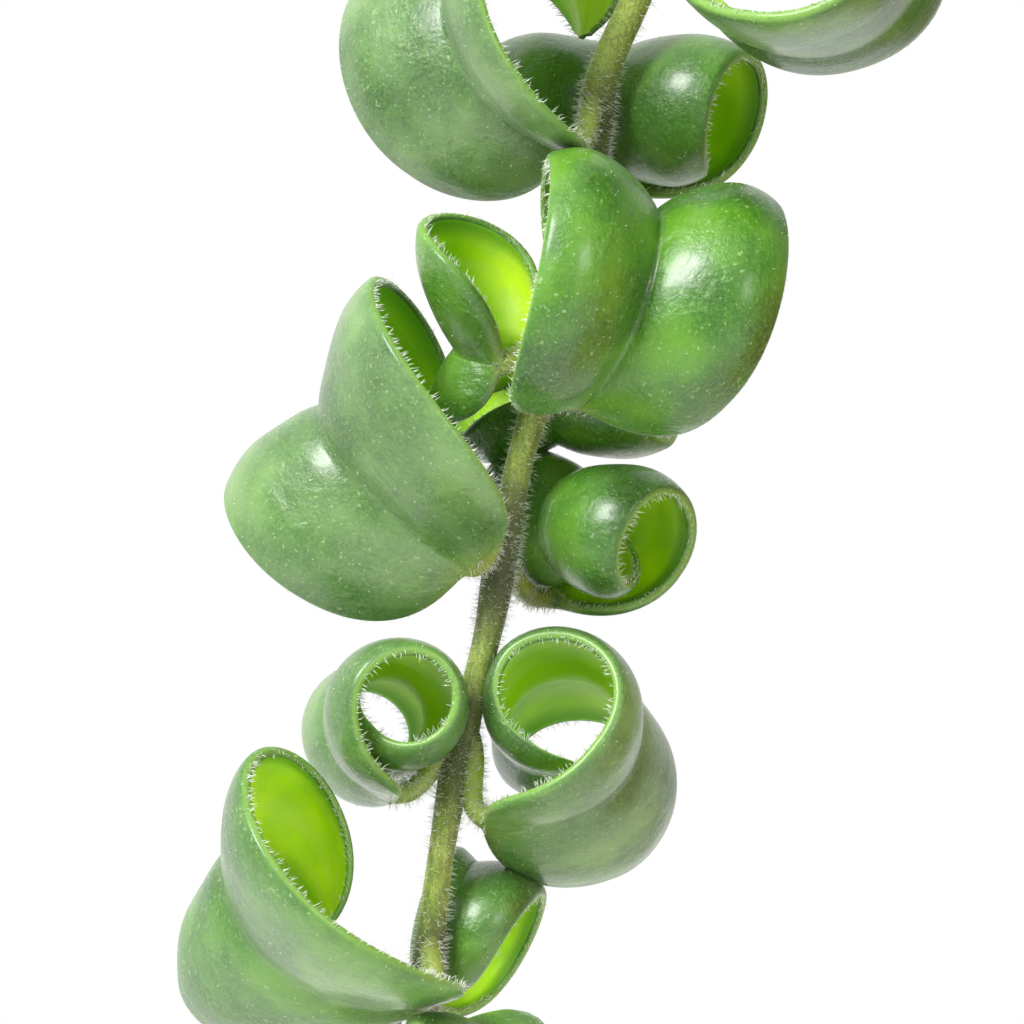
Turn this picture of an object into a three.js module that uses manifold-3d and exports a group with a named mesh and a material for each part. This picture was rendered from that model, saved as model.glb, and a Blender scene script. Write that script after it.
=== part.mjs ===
// Potted curly-leaved lipstick plant: five stems in a plain pot of soil. The longest one
// arches over the rim and hangs in clear air beside the pot.
// Millimetres and degrees. Origin at the centre of the pot's underside, +Z up, and the
// long hanging stem on the -X side.

import * as THREE from 'three';
import { mergeVertices } from 'three/addons/utils/BufferGeometryUtils.js';
import Module from 'manifold-3d';

const wasm = await Module();
wasm.setup();

// Pot and soil
const POT_HEIGHT = 90;
const POT_RIM_RADIUS = 50;
const POT_FOOT_RADIUS = 36;
const POT_WALL = 3.2;
const POT_FLOOR = 4;
const POT_EDGE = 1;
const INNER_CORNER = 2;
const RIM_BAND_HEIGHT = 13;
const RIM_BAND_STEP = 1.6;
const SOIL_EDGE_HEIGHT = 79;
const SOIL_MOUND = 1.5;
const SOIL_RINGS = 6;
const ROUND_SEGMENTS = 36;
const SEAT_GAP = 0.3;

// Stems
const STEM_ROOT_RADIUS = 1.7;
const STEM_TIP_RADIUS = 1;
const RING_POINTS = 8;
const ARCH_TOP_SHARE = 0.45;
const HALVINGS = 40;
const STEM_STEP = 5.5;
const CURVE_SAMPLES = 400;

// Leaves
const LEAF_THICKNESS = 1;
const TIP_THINNESS = 0.5;
const THINNING = 1.5;
const FULL_LEAF_LENGTH = 36;
const PAIRED_LEAF = { length: 36, width: 21.5, rollStart: 7.6, rollEnd: 4.2, fold: 8, lift: 34 };
const LEAF_CHANGE = { length: 2, width: 1, rollStart: 0.5, helix: 5, lift: 6 };
const PETIOLE_RADIUS = 0.9;
const PETIOLE_FLATNESS = 0.8;
const PETIOLE_LENGTH = 6.8;
const PETIOLE_BEND = 0.35;
const OUTLINE_BASE_POWER = 0.45;
const OUTLINE_TIP_POWER = 0.6;
const OUTLINE_END = 0.985;
const LOBE_POWER = 1.6;
const MIDRIB_ROUNDING = 1.2;
const MARGIN_RECURVE = 1.2;
const MARGIN_STARTS_AT = 0.55;
const RING_EASING = 0.4;
const ROLL_STEPS = 24;
const CONE_REACH = 10;
const SET_LEAF_RINGS = 12;
const PAIRED_LEAF_RINGS = 10;
const TIP_LEAF_RINGS = 5;
const PETIOLE_RINGS = 2;
const TIP_LEAF = { length: 12, width: 7, rollStart: 9, rollEnd: 5, lift: 55 };
const TIP_LEAF_SETBACK = 1.5;

const UP = new THREE.Vector3(0, 0, 1);
const radians = THREE.MathUtils.degToRad;
const { clamp, lerp } = THREE.MathUtils;
const vector = (x, y, z) => new THREE.Vector3(x, y, z);

const materials = {
  pot: new THREE.MeshStandardMaterial({ color: 0xb5654a, roughness: 0.85, metalness: 0 }),
  soil: new THREE.MeshStandardMaterial({ color: 0x33261b, roughness: 0.95, metalness: 0 }),
  stem: new THREE.MeshStandardMaterial({ color: 0x8fa64e, roughness: 0.7, metalness: 0 }),
  leaf: new THREE.MeshStandardMaterial({ color: 0x4f8a36, roughness: 0.4, metalness: 0 }),
};

const part = new THREE.Group();

function addPiece(name, geometry, material) {
  const mesh = new THREE.Mesh(geometry, material);
  mesh.name = name;
  part.add(mesh);
}

// Closed skins and booleans

function toSolid(geometry) {
  const bare = geometry.clone();
  bare.deleteAttribute('normal');
  bare.deleteAttribute('uv');
  const merged = mergeVertices(bare, 1e-4);
  return new wasm.Manifold(new wasm.Mesh({
    numProp: 3,
    vertProperties: new Float32Array(merged.attributes.position.array),
    triVerts: new Uint32Array(merged.index.array),
  }));
}

function toGeometry(solid) {
  const mesh = solid.getMesh();
  const geometry = new THREE.BufferGeometry();
  geometry.setAttribute('position', new THREE.BufferAttribute(mesh.vertProperties, 3));
  geometry.setIndex(new THREE.BufferAttribute(mesh.triVerts, 1));
  geometry.computeVertexNormals();
  return geometry;
}

function signedVolume(points, faces) {
  let volume = 0;
  for (let i = 0; i < faces.length; i += 3) {
    const [a, b, c] = [points[faces[i]], points[faces[i + 1]], points[faces[i + 2]]];
    volume += a.dot(b.clone().cross(c)) / 6;
  }
  return volume;
}

function middleOf(ring) {
  return ring.reduce((sum, point) => sum.add(point), vector(0, 0, 0)).divideScalar(ring.length);
}

// A skin over rings of equal length, with a fan at each end
function skinRings(rings) {
  const count = rings[0].length;
  const points = [...rings.flat(), middleOf(rings[0]), middleOf(rings[rings.length - 1])];
  const firstMiddle = rings.length * count;
  const last = (rings.length - 1) * count;
  const faces = [];
  for (let j = 0; j < count; j += 1) {
    const next = (j + 1) % count;
    for (let start = 0; start < last; start += count) {
      const [a, b, c, d] = [start + j, start + next, start + count + next, start + count + j];
      if (j < count / 2) faces.push(a, b, c, a, c, d);
      else faces.push(a, b, d, b, c, d);
    }
    faces.push(firstMiddle, next, j, firstMiddle + 1, last + j, last + next);
  }
  if (signedVolume(points, faces) < 0) faces.reverse();
  const geometry = new THREE.BufferGeometry().setFromPoints(points);
  geometry.setIndex(faces);
  geometry.computeVertexNormals();
  return geometry;
}

// Pot: one turned profile with a flat underside, a tapered wall and a rim band with a step

function wallRadius(z) {
  return lerp(POT_FOOT_RADIUS, POT_RIM_RADIUS - RIM_BAND_STEP, z / POT_HEIGHT);
}

function innerRadius(z) {
  return wallRadius(z) - POT_WALL;
}

function turned(profile) {
  const points = profile.map(([r, z]) => new THREE.Vector2(r, z));
  const geometry = new THREE.LatheGeometry(points, ROUND_SEGMENTS);
  return geometry.rotateX(Math.PI / 2);
}

function potGeometry() {
  const bandBottom = POT_HEIGHT - RIM_BAND_HEIGHT;
  return turned([
    [0, 0],
    [POT_FOOT_RADIUS - POT_EDGE, 0],
    [wallRadius(POT_EDGE), POT_EDGE],
    [wallRadius(bandBottom), bandBottom],
    [POT_RIM_RADIUS, bandBottom + POT_EDGE],
    [POT_RIM_RADIUS, POT_HEIGHT - POT_EDGE],
    [POT_RIM_RADIUS - POT_EDGE, POT_HEIGHT],
    [innerRadius(POT_HEIGHT) + POT_EDGE, POT_HEIGHT],
    [innerRadius(POT_HEIGHT - POT_EDGE), POT_HEIGHT - POT_EDGE],
    [innerRadius(POT_FLOOR + INNER_CORNER), POT_FLOOR + INNER_CORNER],
    [innerRadius(POT_FLOOR) - INNER_CORNER, POT_FLOOR],
    [0, POT_FLOOR],
  ]);
}

// Soil fills the pot up to a low mound and holds a socket round each stem
function soilGeometry(sockets) {
  const base = POT_FLOOR + SEAT_GAP;
  const edge = innerRadius(SOIL_EDGE_HEIGHT) - SEAT_GAP;
  const profile = [
    [0, base],
    [innerRadius(base) - INNER_CORNER - SEAT_GAP, base],
    [innerRadius(base + INNER_CORNER) - SEAT_GAP, base + INNER_CORNER],
  ];
  for (let i = 0; i <= SOIL_RINGS; i += 1) {
    const share = 1 - i / SOIL_RINGS;
    profile.push([edge * share, SOIL_EDGE_HEIGHT + SOIL_MOUND * (1 - share * share)]);
  }
  const filled = toSolid(turned(profile));
  return toGeometry(sockets.reduce((solid, socket) => solid.subtract(socket), filled));
}

// Stems: each is a smooth path through hand-set points, thinner towards its tip

function makeStem(name, points, sideways, salt) {
  const path = points.map(([x, y, z]) => vector(x, y, z));
  const curve = new THREE.CatmullRomCurve3(path, false, 'centripetal');
  curve.arcLengthDivisions = CURVE_SAMPLES;
  return { name, curve, length: curve.getLength(), sideways, salt, pairs: 0 };
}

function stemAt(stem, distance) {
  const at = clamp(distance / stem.length, 0, 1);
  return { point: stem.curve.getPointAt(at), tangent: stem.curve.getTangentAt(at) };
}

function stemRadius(stem, distance) {
  return lerp(STEM_ROOT_RADIUS, STEM_TIP_RADIUS, distance / stem.length);
}

// The part of one direction that stands square to another
function across(direction, away) {
  return away.clone().addScaledVector(direction, -away.dot(direction)).normalize();
}

function ringAt(centre, side, normal, radiusSide, radiusNormal) {
  const ring = [];
  for (let k = 0; k < RING_POINTS; k += 1) {
    const angle = Math.PI - (k * 2 * Math.PI) / RING_POINTS;
    const point = centre.clone().addScaledVector(side, radiusSide * Math.cos(angle));
    ring.push(point.addScaledVector(normal, radiusNormal * Math.sin(angle)));
  }
  return ring;
}

function stemTube(stem, grow) {
  const count = Math.ceil(stem.length / STEM_STEP);
  const rings = [];
  let side = vector(1, 0, 0);
  for (let i = 0; i <= count; i += 1) {
    const distance = (stem.length * i) / count;
    const { point, tangent } = stemAt(stem, distance);
    side = across(tangent, side);
    const radius = stemRadius(stem, distance) + grow;
    if (i === 0) point.addScaledVector(tangent, -grow);
    rings.push(ringAt(point, side, tangent.clone().cross(side), radius, radius));
  }
  return skinRings(rings);
}

// Where a petiole leaves its stem: on the skin, facing the leaf, with the seat gap
function rootOnStem(stem, distance, towards) {
  const { point, tangent } = stemAt(stem, distance);
  const leave = across(tangent, towards.clone().sub(point));
  const root = point.addScaledVector(leave, stemRadius(stem, distance) + SEAT_GAP);
  return { root, leave };
}

// Leaves. A leaf lies flat in (u, v): u along the midrib and v across it. The flat sheet
// is rolled round an axis, tighter towards the tip, and folded a little along the midrib.
// Its frame has the roll's axis, the way it sets off and the side that faces out.

const LEAF_DEFAULTS = {
  cone: 0, fold: 5, lobe: 4, helix: 0, upShare: 1, downShare: 1, tighten: 1, pillow: 0,
  rings: SET_LEAF_RINGS,
};

function frameFromAngles(azimuth, elevation, start) {
  const [a, e, s] = [azimuth, elevation, start].map(radians);
  const axis = vector(Math.cos(e) * Math.cos(a), -Math.cos(e) * Math.sin(a), Math.sin(e));
  const level = UP.clone().cross(axis).negate().normalize();
  const rising = level.clone().cross(axis);
  const along = level.clone().multiplyScalar(Math.cos(s)).addScaledVector(rising, Math.sin(s));
  return { axis, along, out: axis.clone().cross(along) };
}

function outlineWidth(leaf, t) {
  const peak = OUTLINE_BASE_POWER / (OUTLINE_BASE_POWER + OUTLINE_TIP_POWER);
  const base = (t / peak) ** OUTLINE_BASE_POWER;
  const tip = ((1 - t) / (1 - peak)) ** OUTLINE_TIP_POWER;
  return (leaf.width / 2) * base * tip;
}

// Follows the roll for a distance c at a place a along its axis
function rollTo(leaf, c, a) {
  const spread = 1 + (leaf.cone * a) / CONE_REACH;
  const step = c / ROLL_STEPS;
  let [x, y, angle] = [0, 0, 0];
  for (let i = 0; i < ROLL_STEPS; i += 1) {
    const t = clamp(((i + 0.5) * step) / leaf.length, 0, 1) ** leaf.tighten;
    const turn = lerp(1 / leaf.rollStart, 1 / leaf.rollEnd, t) * spread * step;
    x += Math.cos(angle + turn / 2) * step;
    y += Math.sin(angle + turn / 2) * step;
    angle += turn;
  }
  return { x, y, angle };
}

// A point of the blade's middle surface and the normal there, for t along and s across
function bladePoint(leaf, t, s) {
  const { axis, along, out } = leaf.frame;
  const share = s > 0 ? leaf.upShare : leaf.downShare;
  const half = Math.max(outlineWidth(leaf, t) * share, PETIOLE_RADIUS);
  const flatV = s * half;
  const fold = radians(s < 0 ? leaf.downFold ?? leaf.fold : leaf.fold);
  const pillow = leaf.pillow * 4 * Math.abs(s) * (1 - Math.abs(s)) * (half / (leaf.width / 2));
  const rise = pillow + Math.sin(fold) * (Math.hypot(flatV, MIDRIB_ROUNDING) - MIDRIB_ROUNDING);
  const lobe = leaf.lobe * Math.abs(flatV / (leaf.width / 2)) ** LOBE_POWER * (1 - t) ** 2;
  const u = t * leaf.length - lobe;
  const v = flatV * Math.cos(fold);
  const helix = radians(leaf.helix);
  const c = u * Math.cos(helix) - v * Math.sin(helix);
  const a = u * Math.sin(helix) + v * Math.cos(helix);
  const { x, y, angle } = rollTo(leaf, c, a);
  const normal = along.clone().multiplyScalar(Math.sin(angle)).addScaledVector(out, Math.cos(angle));
  const size = Math.min(1, leaf.length / FULL_LEAF_LENGTH);
  const edge = clamp((Math.abs(s) - MARGIN_STARTS_AT) / (1 - MARGIN_STARTS_AT), 0, 1) ** 2;
  const recurve = MARGIN_RECURVE * size * edge * Math.min(1, t * 4, (1 - t) * 8);
  const point = leaf.base.clone()
    .addScaledVector(along, x)
    .addScaledVector(out, -y)
    .addScaledVector(axis, a)
    .addScaledVector(normal, rise - recurve);
  return { point, normal };
}

const RING_ACROSS = [-1, -0.5, 0, 0.5, 1, 0.5, 0, -0.5];
const RING_SIDE = [0, 1, 1, 1, 0, -1, -1, -1];

function bladeRing(leaf, t) {
  const half = (LEAF_THICKNESS / 2) * Math.min(1, TIP_THINNESS + (1 - t) * THINNING);
  return RING_ACROSS.map((s, k) => {
    const { point, normal } = bladePoint(leaf, t, s);
    return point.addScaledVector(normal, RING_SIDE[k] * half);
  });
}

function petioleRings(leaf) {
  const { axis, along } = leaf.frame;
  const helix = radians(leaf.helix);
  const ahead = along.clone().multiplyScalar(Math.cos(helix)).addScaledVector(axis, Math.sin(helix));
  const side = axis.clone().multiplyScalar(Math.cos(helix)).addScaledVector(along, -Math.sin(helix));
  const bend = leaf.base.distanceTo(leaf.root) * PETIOLE_BEND;
  const path = new THREE.CubicBezierCurve3(
    leaf.root,
    leaf.root.clone().addScaledVector(leaf.leave, bend),
    leaf.base.clone().addScaledVector(ahead, -bend),
    leaf.base,
  );
  const rings = [];
  for (let i = 0; i < PETIOLE_RINGS; i += 1) {
    const tangent = path.getTangentAt(i / PETIOLE_RINGS);
    const ringSide = across(tangent, side);
    const normal = tangent.clone().cross(ringSide).negate();
    const centre = path.getPointAt(i / PETIOLE_RINGS);
    rings.push(ringAt(centre, ringSide, normal, PETIOLE_RADIUS, PETIOLE_RADIUS * PETIOLE_FLATNESS));
  }
  return rings;
}

function leafGeometry(leaf) {
  const rings = petioleRings(leaf);
  for (let i = 0; i <= leaf.rings; i += 1) {
    const even = i / leaf.rings;
    const eased = (1 - Math.cos(Math.PI * even)) / 2;
    rings.push(bladeRing(leaf, OUTLINE_END * lerp(even, eased, RING_EASING)));
  }
  return skinRings(rings);
}

// The long hanging stem: up out of the soil, over the rim and down in clear air

const HANGING_PATH = [
  [-12, 0, 66], [-13, 0, 82], [-17, 0, 100], [-25, 0, 122], [-37, 0, 138], [-52, 0, 145],
  [-67, 0, 141.5], [-77, 0, 132.5], [-83.5, 0, 121], [-86.5, 0, 113.5], [-89.3, 0, 107],
  [-90.3, 0, 101], [-92.8, 0, 88], [-95, 0, 79], [-96.4, 0, 74], [-97.8, 0, 67],
  [-99, 0, 60], [-100.9, 0, 52.3], [-102.1, 0, 46.4], [-103.1, 0, 40.4], [-104, 0, 33.6],
  [-104.5, 0, 28.5], [-105, 0, 22], [-105, 0, 16], [-104.5, 0, 11],
];

// The lower leaves of the hanging stem, by the height at which each leaves it. Every leaf
// has the base of its blade, its roll axis (azimuth and elevation), the angle it sets off
// at, a helix angle, its size, and the roll's radius at its base and tip.
const HANGING_LEAVES = [
  { name: 'leaf_hanging_n_right', z: 124, base: [-81.5, -4, 114.5], axis: [285, -8], start: -62,
    length: 48, width: 31, rollStart: 13, rollEnd: 7, upShare: 0.45 },
  { name: 'leaf_hanging_a_front', z: 103.5, base: [-92.4, -4, 100.8], axis: [60, 13], start: 12,
    helix: -5, length: 40, width: 26, rollStart: 14, rollEnd: 6, fold: 24, pillow: 0.8 },
  { name: 'leaf_hanging_a_back', z: 99.5, base: [-87.8, 9.4, 98], axis: [209, 3], start: 5,
    length: 44, width: 24, rollStart: 6.4, rollEnd: 4.6, lobe: 2, pillow: 0.5 },
  { name: 'leaf_hanging_b_front', z: 83.5, base: [-91.5, -10.5, 79.4], axis: [-16, -8], start: 12,
    helix: 10, length: 42, width: 23.5, rollStart: 11, rollEnd: 5.1, fold: 18, downFold: 24,
    lobe: 7, upShare: 0.95, downShare: 0.95, pillow: 1.6 },
  { name: 'leaf_hanging_b_left', z: 83.5, base: [-98.2, -4.2, 82.6], axis: [85, 70], start: 8,
    length: 14.5, width: 18.5, rollStart: 3.7, rollEnd: 2.9, fold: 20, lobe: 0, upShare: 1.25,
    downShare: 0.75, pillow: 0.8 },
  { name: 'leaf_hanging_b_back', z: 82, base: [-93.8, 4, 79.8], axis: [188, -2], start: -80,
    length: 26, width: 20.5, rollStart: 4.8, rollEnd: 4, lobe: 1, pillow: 0.6 },
  { name: 'leaf_hanging_c_front', z: 67.5, base: [-100.9, -4, 65.6], axis: [30, 34], start: 36,
    helix: -8, length: 42, width: 24, rollStart: 22, rollEnd: 3.4, tighten: 1.4, fold: 22,
    downFold: 10, cone: -0.15, upShare: 1.1, downShare: 1.02, pillow: 0.4 },
  { name: 'leaf_hanging_c_back', z: 64.5, base: [-93.8, 7, 62.6], axis: [225, 8], start: 5,
    helix: -6, length: 38, width: 21, rollStart: 6.3, rollEnd: 4, upShare: 0.85, pillow: 0.5 },
  { name: 'leaf_hanging_d_left', z: 48.6, base: [-107, 0, 46.1], axis: [77, 11], start: 10,
    length: 39, width: 20, rollStart: 8.2, rollEnd: 3.6, tighten: 0.6, lobe: 3, pillow: 0.5 },
  { name: 'leaf_hanging_d_right', z: 49.8, base: [-99.1, -1, 44], axis: [275, -28], start: -18,
    length: 46, width: 25, rollStart: 12, rollEnd: 4.4, lobe: 3, cone: -0.1, upShare: 1.15,
    downShare: 0.75, pillow: 0.5 },
  { name: 'leaf_hanging_e_front', z: 31.9, base: [-104.6, -4.8, 28.8], axis: [44, 30], start: -6,
    helix: -5.5, length: 44, width: 26, rollStart: 22, rollEnd: 4.6, tighten: 1.2, fold: 20,
    downFold: -8, cone: -0.2, downShare: 1.1, pillow: 0.4 },
  { name: 'leaf_hanging_e_back', z: 28, base: [-104.6, 8, 27.5], axis: [191, 20], start: 5,
    length: 40, width: 16, rollStart: 7.3, rollEnd: 5, upShare: 0.35, downShare: 0.8, lobe: 1,
    pillow: 0.5 },
];

// Its upper and lowest leaves, as pairs: distance along the stem, turn and size
const HANGING_PAIRS = [[66, 0, 0.95], [87, 90, 1], [108, 0, 1], [240, -40, 0.6]];

// The shorter stems: compass direction from the pot's centre, and points (distance from
// the centre, height, sideways sway), then where their leaf pairs stand and how big
const SIDE_STEMS = [
  { name: 'front', azimuth: -98, salt: 1, twist: -20,
    path: [[7, 66, 0], [9, 84, 0], [14, 103, 1], [25, 121, 3], [40, 131, 3], [54, 127, 1],
      [63, 114, -1], [67, 98, -1], [69, 82, 1], [69, 70, 2]] },
  { name: 'front_right', azimuth: -38, salt: 2, twist: -70,
    path: [[7, 66, 0], [9, 84, 0], [16, 108, -1], [28, 130, -3], [42, 143, -3], [56, 142, -1],
      [66, 132, 1], [72, 117, 2], [75, 101, 1], [76, 90, 0]] },
  { name: 'back_right', azimuth: 28, salt: 3, twist: -20,
    path: [[7, 66, 0], [9, 84, 0], [13, 103, 1], [23, 120, 3], [37, 128, 2], [51, 124, 0],
      [61, 111, -2], [66, 95, -2], [69, 79, -1], [70, 66, 0]] },
  { name: 'back', azimuth: 88, salt: 4, twist: -70,
    path: [[7, 66, 0], [9, 86, 0], [15, 110, -1], [26, 133, -2], [40, 147, -1], [54, 148, 1],
      [65, 139, 2], [71, 124, 2], [74, 108, 1], [75, 96, 0]] },
];
const SIDE_PAIRS = [[75, 0, 0.92], [98, 90, 1], [120, 180, 0.9], [140, 270, 0.75]];

// Beyond the top of its arch a stem only goes down
function distanceAtHeight(stem, z) {
  let [low, high] = [stem.length * ARCH_TOP_SHARE, stem.length];
  for (let i = 0; i < HALVINGS; i += 1) {
    const middle = (low + high) / 2;
    if (stemAt(stem, middle).point.z > z) low = middle;
    else high = middle;
  }
  return low;
}

function addSetLeaf(stem, spec) {
  const base = vector(...spec.base);
  const distance = distanceAtHeight(stem, spec.z);
  const frame = frameFromAngles(...spec.axis, spec.start);
  const leaf = { ...LEAF_DEFAULTS, ...spec, base, frame, ...rootOnStem(stem, distance, base) };
  addPiece(spec.name, leafGeometry(leaf), materials.leaf);
}

// The other leaves stand in opposite pairs, each pair a quarter turn from the last. A leaf
// sets off away from the stem and a little towards its tip, and curls back the other way.

function wobble(index, salt) {
  return Math.sin(2.4 * index + 1.7 * salt);
}

function pairedFrame(stem, distance, turn, lift) {
  const { point, tangent } = stemAt(stem, distance);
  const outward = across(tangent, stem.sideways).applyAxisAngle(tangent, radians(turn));
  const along = outward.clone().multiplyScalar(Math.cos(lift)).addScaledVector(tangent, Math.sin(lift));
  const axis = outward.clone().cross(tangent);
  return { point, tangent, outward, frame: { axis, along, out: axis.clone().cross(along) } };
}

function pairedLeaf(stem, distance, turn, size, index) {
  const lift = radians(PAIRED_LEAF.lift + LEAF_CHANGE.lift * wobble(index, stem.salt));
  const { point, outward, frame } = pairedFrame(stem, distance, turn, lift);
  const reach = stemRadius(stem, distance) + SEAT_GAP + PETIOLE_LENGTH * size;
  const base = point.addScaledVector(outward, reach);
  return {
    ...LEAF_DEFAULTS,
    base,
    frame,
    length: (PAIRED_LEAF.length + LEAF_CHANGE.length * wobble(index, stem.salt + 2)) * size,
    width: (PAIRED_LEAF.width + LEAF_CHANGE.width * wobble(index, stem.salt + 1)) * size,
    rollStart: (PAIRED_LEAF.rollStart + LEAF_CHANGE.rollStart * wobble(index, stem.salt + 3)) * size,
    rollEnd: PAIRED_LEAF.rollEnd * size,
    helix: LEAF_CHANGE.helix * wobble(index, stem.salt + 4),
    fold: PAIRED_LEAF.fold,
    rings: PAIRED_LEAF_RINGS,
    ...rootOnStem(stem, distance, base),
  };
}

function addPair(stem, label, distance, turn, size) {
  for (const side of [0, 1]) {
    const leaf = pairedLeaf(stem, distance, turn + 180 * side, size, stem.pairs * 2 + side);
    const name = `leaf_${label}_pair${stem.pairs + 1}_${side === 0 ? 'one' : 'two'}`;
    addPiece(name, leafGeometry(leaf), materials.leaf);
  }
  stem.pairs += 1;
}

// The two young leaves at a growing tip belong to the stem's own solid
function stemWithTip(stem) {
  const root = stemAt(stem, stem.length - TIP_LEAF_SETBACK).point;
  const young = [0, 180].map((turn) => {
    const { point, tangent, frame } = pairedFrame(stem, stem.length, turn, radians(TIP_LEAF.lift));
    const base = point.addScaledVector(frame.along, TIP_LEAF_SETBACK);
    const leaf = { ...LEAF_DEFAULTS, ...TIP_LEAF, base, root, leave: tangent, frame };
    return toSolid(leafGeometry({ ...leaf, rings: TIP_LEAF_RINGS }));
  });
  const tube = toSolid(stemTube(stem, 0));
  return toGeometry(young.reduce((solid, leaf) => solid.add(leaf), tube));
}

function rotated([reach, height, sway], azimuth) {
  const a = radians(azimuth);
  return [
    reach * Math.cos(a) - sway * Math.sin(a),
    reach * Math.sin(a) + sway * Math.cos(a),
    height,
  ];
}

// Build

const hanging = makeStem('stem_hanging', HANGING_PATH, vector(0, 1, 0), 0);
for (const spec of HANGING_LEAVES) addSetLeaf(hanging, spec);
for (const pair of HANGING_PAIRS) addPair(hanging, 'hanging', ...pair);

const stems = [hanging];
for (const { name, azimuth, salt, twist, path } of SIDE_STEMS) {
  const points = path.map((point) => rotated(point, azimuth));
  const sideways = vector(...rotated([0, 0, 1], azimuth));
  const stem = makeStem(`stem_${name}`, points, sideways, salt);
  for (const [distance, turn, size] of SIDE_PAIRS) addPair(stem, name, distance, turn + twist, size);
  stems.push(stem);
}

for (const stem of stems) addPiece(stem.name, stemWithTip(stem), materials.stem);
const sockets = stems.map((stem) => toSolid(stemTube(stem, SEAT_GAP)));
addPiece('soil', soilGeometry(sockets), materials.soil);
addPiece('pot', potGeometry(), materials.pot);

export default part;
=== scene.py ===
# Looks of the potted curly-leaved lipstick plant, in metres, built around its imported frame.
# The pot's underside is centred on the origin, +Z is up, and the long stem hangs on the -X side.
import math

import bpy
import numpy as np
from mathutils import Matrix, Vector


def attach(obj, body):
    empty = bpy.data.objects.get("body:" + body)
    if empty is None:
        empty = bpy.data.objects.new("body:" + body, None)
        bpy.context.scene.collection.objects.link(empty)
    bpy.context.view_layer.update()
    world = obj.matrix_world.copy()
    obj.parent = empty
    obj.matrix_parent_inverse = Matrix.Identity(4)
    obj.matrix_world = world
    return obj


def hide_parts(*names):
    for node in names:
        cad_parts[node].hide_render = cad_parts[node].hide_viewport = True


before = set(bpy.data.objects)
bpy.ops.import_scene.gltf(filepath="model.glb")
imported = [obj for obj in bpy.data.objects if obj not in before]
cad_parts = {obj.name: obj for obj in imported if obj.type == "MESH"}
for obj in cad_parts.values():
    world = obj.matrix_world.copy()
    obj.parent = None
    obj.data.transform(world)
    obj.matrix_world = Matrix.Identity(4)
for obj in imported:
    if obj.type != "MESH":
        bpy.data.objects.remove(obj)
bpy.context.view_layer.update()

MM = 0.001
SEED = 7

# Pot and soil
POT_HEIGHT = 90 * MM
POT_RIM_RADIUS = 50 * MM
POT_FOOT_RADIUS = 36 * MM
POT_WALL = 3.2 * MM
POT_FLOOR = 4 * MM
POT_EDGE = 1 * MM
INNER_CORNER = 2 * MM
RIM_BAND_HEIGHT = 13 * MM
RIM_BAND_STEP = 1.6 * MM
RIM_BAND_SLOPE = 0.4 * MM
RIM_ROUNDING = 1.4 * MM
BAND_ROUNDING = 0.6 * MM
FOOT_INSET = 3 * MM
FLOOR_INSET = 4 * MM
SOIL_EDGE_HEIGHT = 79 * MM
SOIL_MOUND = 1.5 * MM
SEAT_GAP = 0.3 * MM
POT_SEGMENTS = 144
CORNER_STEPS = 5
SOIL_RINGS = 56
SOIL_SEGMENTS = 150
SOIL_ROUGHNESS = 0.5 * MM
SOIL_BUMP_SIZES = (9, 5.3, 3.1, 1.7, 1.1)
SOIL_FIRST_TURN = 0.4
SOIL_BUMP_TURN = 1.3
SCATTER_INSET = 1.2 * MM
GRAIN_SMALLEST = 0.6
GRAIN_LUMPS = 0.16
GRAIN_STRETCH = (0.75, 1.25)
GRAIN_TILT = 0.5
GRAIN_LIFT = 0.25
CRUMBS = 800
BARK_CHIPS = 70
PERLITE_GRAINS = 45

# Stems
STEM_ROOT_RADIUS = 1.7 * MM
STEM_TIP_RADIUS = 1 * MM
STEM_RING_POINTS = 24
STEM_STEP = 1 * MM
NODE_SWELLING = 0.24
NODE_REACH = 4.2 * MM
ARCH_TOP_SHARE = 0.45
SAMPLES_PER_SPAN = 120
TANGENT_REACH = 0.02 * MM
STEM_OVAL = (0.02, 11 * MM)
STEM_LOBES = (0.012, 5 * MM)

# Leaves
LEAF_THICKNESS = 1.1 * MM
FULL_LEAF_LENGTH = 36 * MM
PETIOLE_RADIUS = 1 * MM
PETIOLE_FLATNESS = 0.88
PETIOLE_ROOT_SIZE = 0.7
PETIOLE_FULL_AT = 0.4
PETIOLE_LENGTH = 6.8 * MM
PETIOLE_BEND = 0.35
PETIOLE_ROOT_BEND = 0.4
PETIOLE_LEAD = 2.4 * MM
PETIOLE_DEPTH = 0.1
PETIOLE_RINGS = 14
OUTLINE_BASE_POWER = 0.45
OUTLINE_TIP_POWER = 0.6
OUTLINE_END = 0.9995
LOBE_POWER = 1.6
MIDRIB_ROUNDING = 1.2 * MM
MIDRIB_CREASE = 0.45 * MM
MIDRIB_WIDTH = 1.3 * MM
MIDRIB_RIB = 0.5 * MM
MARGIN_RECURVE = 1.2 * MM
MARGIN_STARTS_AT = 0.55
TIP_THINNESS = 0.5
THINNING = 1.5
BASE_BLEND = 0.12
RIB_START = 0.1
ROLL_STEPS = 24
RING_EASING = 0.4
UNDULATION = 0.1 * MM
WAVES_ALONG = (3.1 * MM, 1.9 * MM)
WAVES_ACROSS = (2.9 * MM, 2.3 * MM)
SMALL_WAVES = 0.6
TRUE_NORMAL_SHARE = 0.85
TIP_LEAF_SETBACK = 1.5 * MM

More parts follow.
